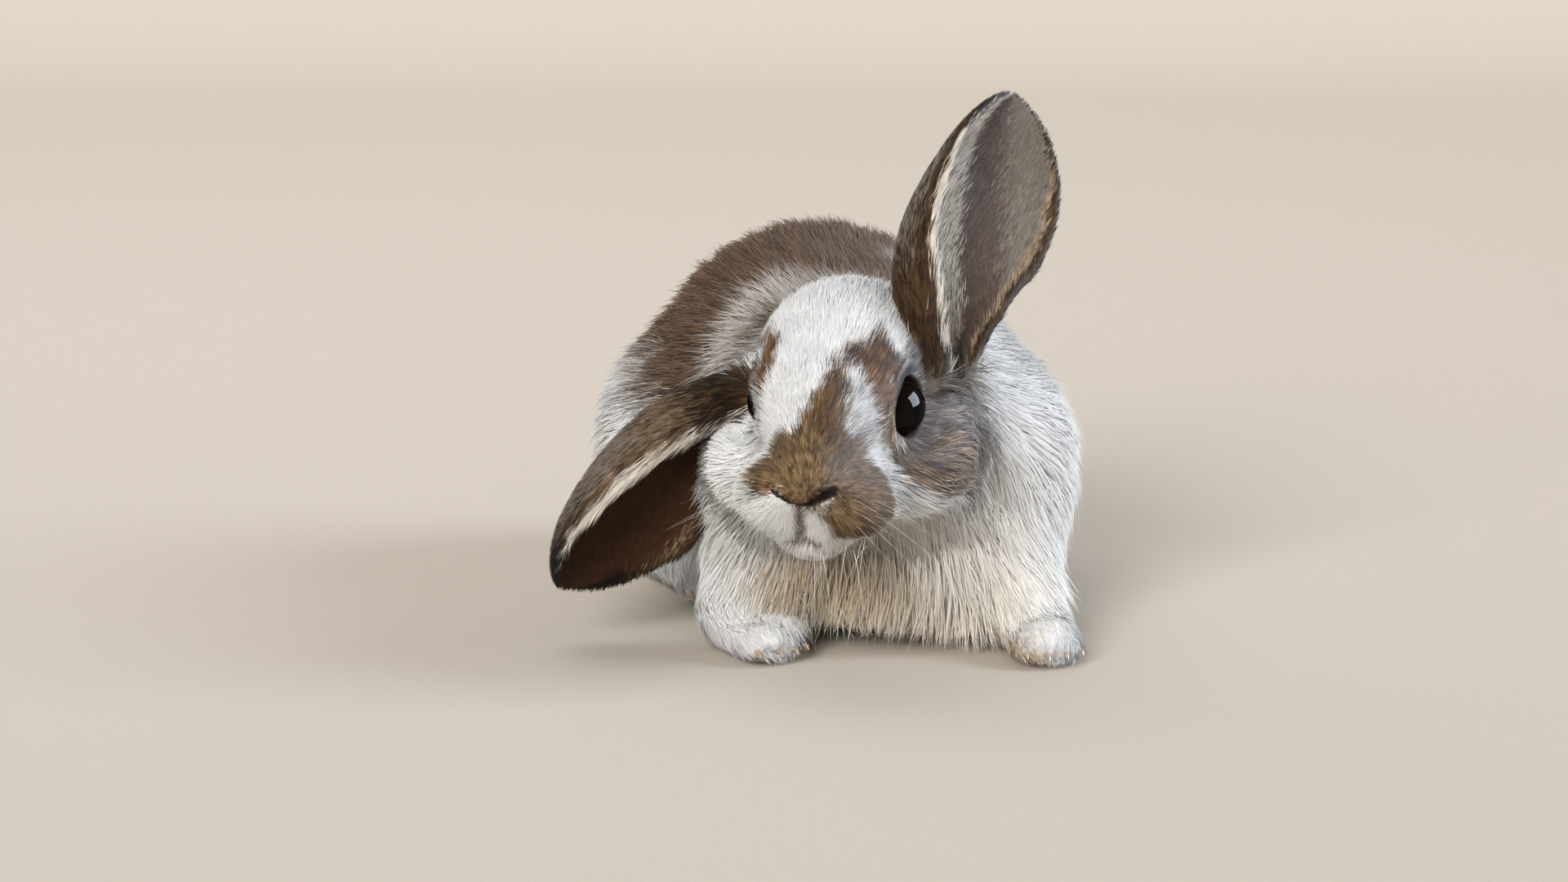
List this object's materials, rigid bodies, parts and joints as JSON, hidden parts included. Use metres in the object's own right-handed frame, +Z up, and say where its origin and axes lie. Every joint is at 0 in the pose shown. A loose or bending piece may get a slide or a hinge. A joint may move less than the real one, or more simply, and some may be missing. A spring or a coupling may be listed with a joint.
{
  "type": "rabbit",
  "caption": "Young lop-eared rabbit crouching on all fours, one ear up and one hanging, soft white coat with brown patches.",
  "frame": {"origin": "on the floor, below the middle of the animal's bounding box", "axes": "+Z up, the nose towards -Y, +X towards the rabbit's left"},
  "size_m": [0.1252, 0.181, 0.1296],
  "materials": {
    "white_coat": "soft white fur",
    "agouti_coat": "soft brown fur with darker tips and white patches",
    "ear_skin": "thin skin under short dark brown fur, greyish pink inside",
    "eye": "wet and glossy, near black",
    "claw": "pale horn"
  },
  "bodies": {
    "root": {"claw_forepaw_left_1": "claw", "claw_forepaw_left_2": "claw", "claw_forepaw_left_3": "claw", "claw_forepaw_left_4": "claw", "claw_forepaw_right_1": "claw", "claw_forepaw_right_2": "claw", "claw_forepaw_right_3": "claw", "claw_forepaw_right_4": "claw", "claw_hind_foot_left_1": "claw", "claw_hind_foot_left_2": "claw", "claw_hind_foot_left_3": "claw", "claw_hind_foot_left_4": "claw", "claw_hind_foot_right_1": "claw", "claw_hind_foot_right_2": "claw", "claw_hind_foot_right_3": "claw", "claw_hind_foot_right_4": "claw", "ear_left": "ear_skin", "ear_right": "ear_skin", "eye_left": "eye", "eye_right": "eye", "foreleg_left": "white_coat", "foreleg_right": "white_coat", "forepaw_left": "white_coat", "forepaw_right": "white_coat", "head": "white_coat", "hind_foot_left": "white_coat", "hind_foot_right": "white_coat", "neck": "white_coat", "tail": "agouti_coat", "thigh_left": "agouti_coat", "thigh_right": "agouti_coat", "trunk": "agouti_coat"}
  },
  "joints": []
}
